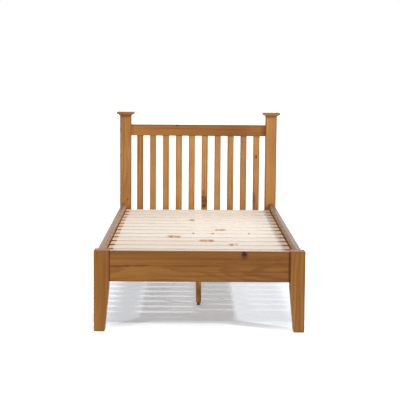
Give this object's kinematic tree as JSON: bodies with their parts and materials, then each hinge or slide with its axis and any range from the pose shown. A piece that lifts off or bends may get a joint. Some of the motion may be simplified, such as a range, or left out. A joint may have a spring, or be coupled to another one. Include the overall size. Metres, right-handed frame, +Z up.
{
  "type": "slatted bed frame",
  "caption": "Pine single bedstead: capped square head posts, headboard of upright slats, low foot end on tapered legs, and cross slats on a supported centre rail that carry a mattress",
  "frame": {"origin": "on the floor, under the middle of the bed's bounding box", "axes": "+Z up, +Y from the foot end towards the headboard, +X to the right of someone who stands at the foot end and looks at the headboard"},
  "size_m": [1.023, 2.079, 0.954],
  "materials": {
    "stained_pine": "satin honey-brown stain",
    "raw_pine": "planed, unfinished",
    "zinc_steel": "bright zinc plate",
    "black_plastic": "moulded, matt"
  },
  "bodies": {
    "frame": {"bed_slat_01": "raw_pine", "bed_slat_02": "raw_pine", "bed_slat_03": "raw_pine", "bed_slat_04": "raw_pine", "bed_slat_05": "raw_pine", "bed_slat_06": "raw_pine", "bed_slat_07": "raw_pine", "bed_slat_08": "raw_pine", "bed_slat_09": "raw_pine", "bed_slat_10": "raw_pine", "bed_slat_11": "raw_pine", "bed_slat_12": "raw_pine", "bed_slat_13": "raw_pine", "bed_slat_14": "raw_pine", "bracket_bolts": "zinc_steel", "bracket_screws": "zinc_steel", "cap_dowels": "raw_pine", "centre_hanger_foot": "zinc_steel", "centre_hanger_head": "zinc_steel", "centre_rail": "raw_pine", "corner_bracket_foot_left": "zinc_steel", "corner_bracket_foot_right": "zinc_steel", "corner_bracket_head_left": "zinc_steel", "corner_bracket_head_right": "zinc_steel", "foot_leg_left": "stained_pine", "foot_leg_right": "stained_pine", "foot_rail": "stained_pine", "hanger_screws": "zinc_steel", "head_post_left": "stained_pine", "head_post_right": "stained_pine", "headboard_bottom_rail": "stained_pine", "headboard_slat_01": "stained_pine", "headboard_slat_02": "stained_pine", "headboard_slat_03": "stained_pine", "headboard_slat_04": "stained_pine", "headboard_slat_05": "stained_pine", "headboard_slat_06": "stained_pine", "headboard_slat_07": "stained_pine", "headboard_slat_08": "stained_pine", "headboard_slat_09": "stained_pine", "headboard_slat_10": "stained_pine", "headboard_top_rail": "stained_pine", "ledger_screws": "zinc_steel", "leg_bolts": "zinc_steel", "post_cap_left": "stained_pine", "post_cap_right": "stained_pine", "rail_dowels": "raw_pine", "side_rail_left": "stained_pine", "side_rail_right": "stained_pine", "slat_ledger_left": "stained_pine", "slat_ledger_right": "stained_pine", "slat_screws": "zinc_steel", "support_leg_front": "stained_pine", "support_leg_rear": "stained_pine", "threaded_sleeves": "zinc_steel"},
    "pad_front": {"levelling_pad_front": "black_plastic"},
    "stem_front": {"levelling_stem_front": "zinc_steel"},
    "pad_rear": {"levelling_pad_rear": "black_plastic"},
    "stem_rear": {"levelling_stem_rear": "zinc_steel"}
  },
  "joints": [
    {"name": "levelling_pad_front_travel", "type": "slide", "parent": "frame", "child": "pad_front", "axis": [0, 0, -1], "range_m": [-0.0025, 0.01]},
    {"name": "levelling_stem_front_turn", "type": "hinge", "parent": "pad_front", "child": "stem_front", "pos_m": [0, -0.3945, 0], "axis": [0, 0, -1], "range_deg": [-721, 2881]},
    {"name": "levelling_pad_rear_travel", "type": "slide", "parent": "frame", "child": "pad_rear", "axis": [0, 0, -1], "range_m": [-0.0025, 0.01]},
    {"name": "levelling_stem_rear_turn", "type": "hinge", "parent": "pad_rear", "child": "stem_rear", "pos_m": [0, 0.3755, 0], "axis": [0, 0, -1], "range_deg": [-721, 2881]}
  ],
  "couplings": [
    {"joint": "levelling_stem_front_turn", "follows": "levelling_pad_front_travel", "rad_per_m": 5026.5},
    {"joint": "levelling_stem_rear_turn", "follows": "levelling_pad_rear_travel", "rad_per_m": 5026.5}
  ]
}
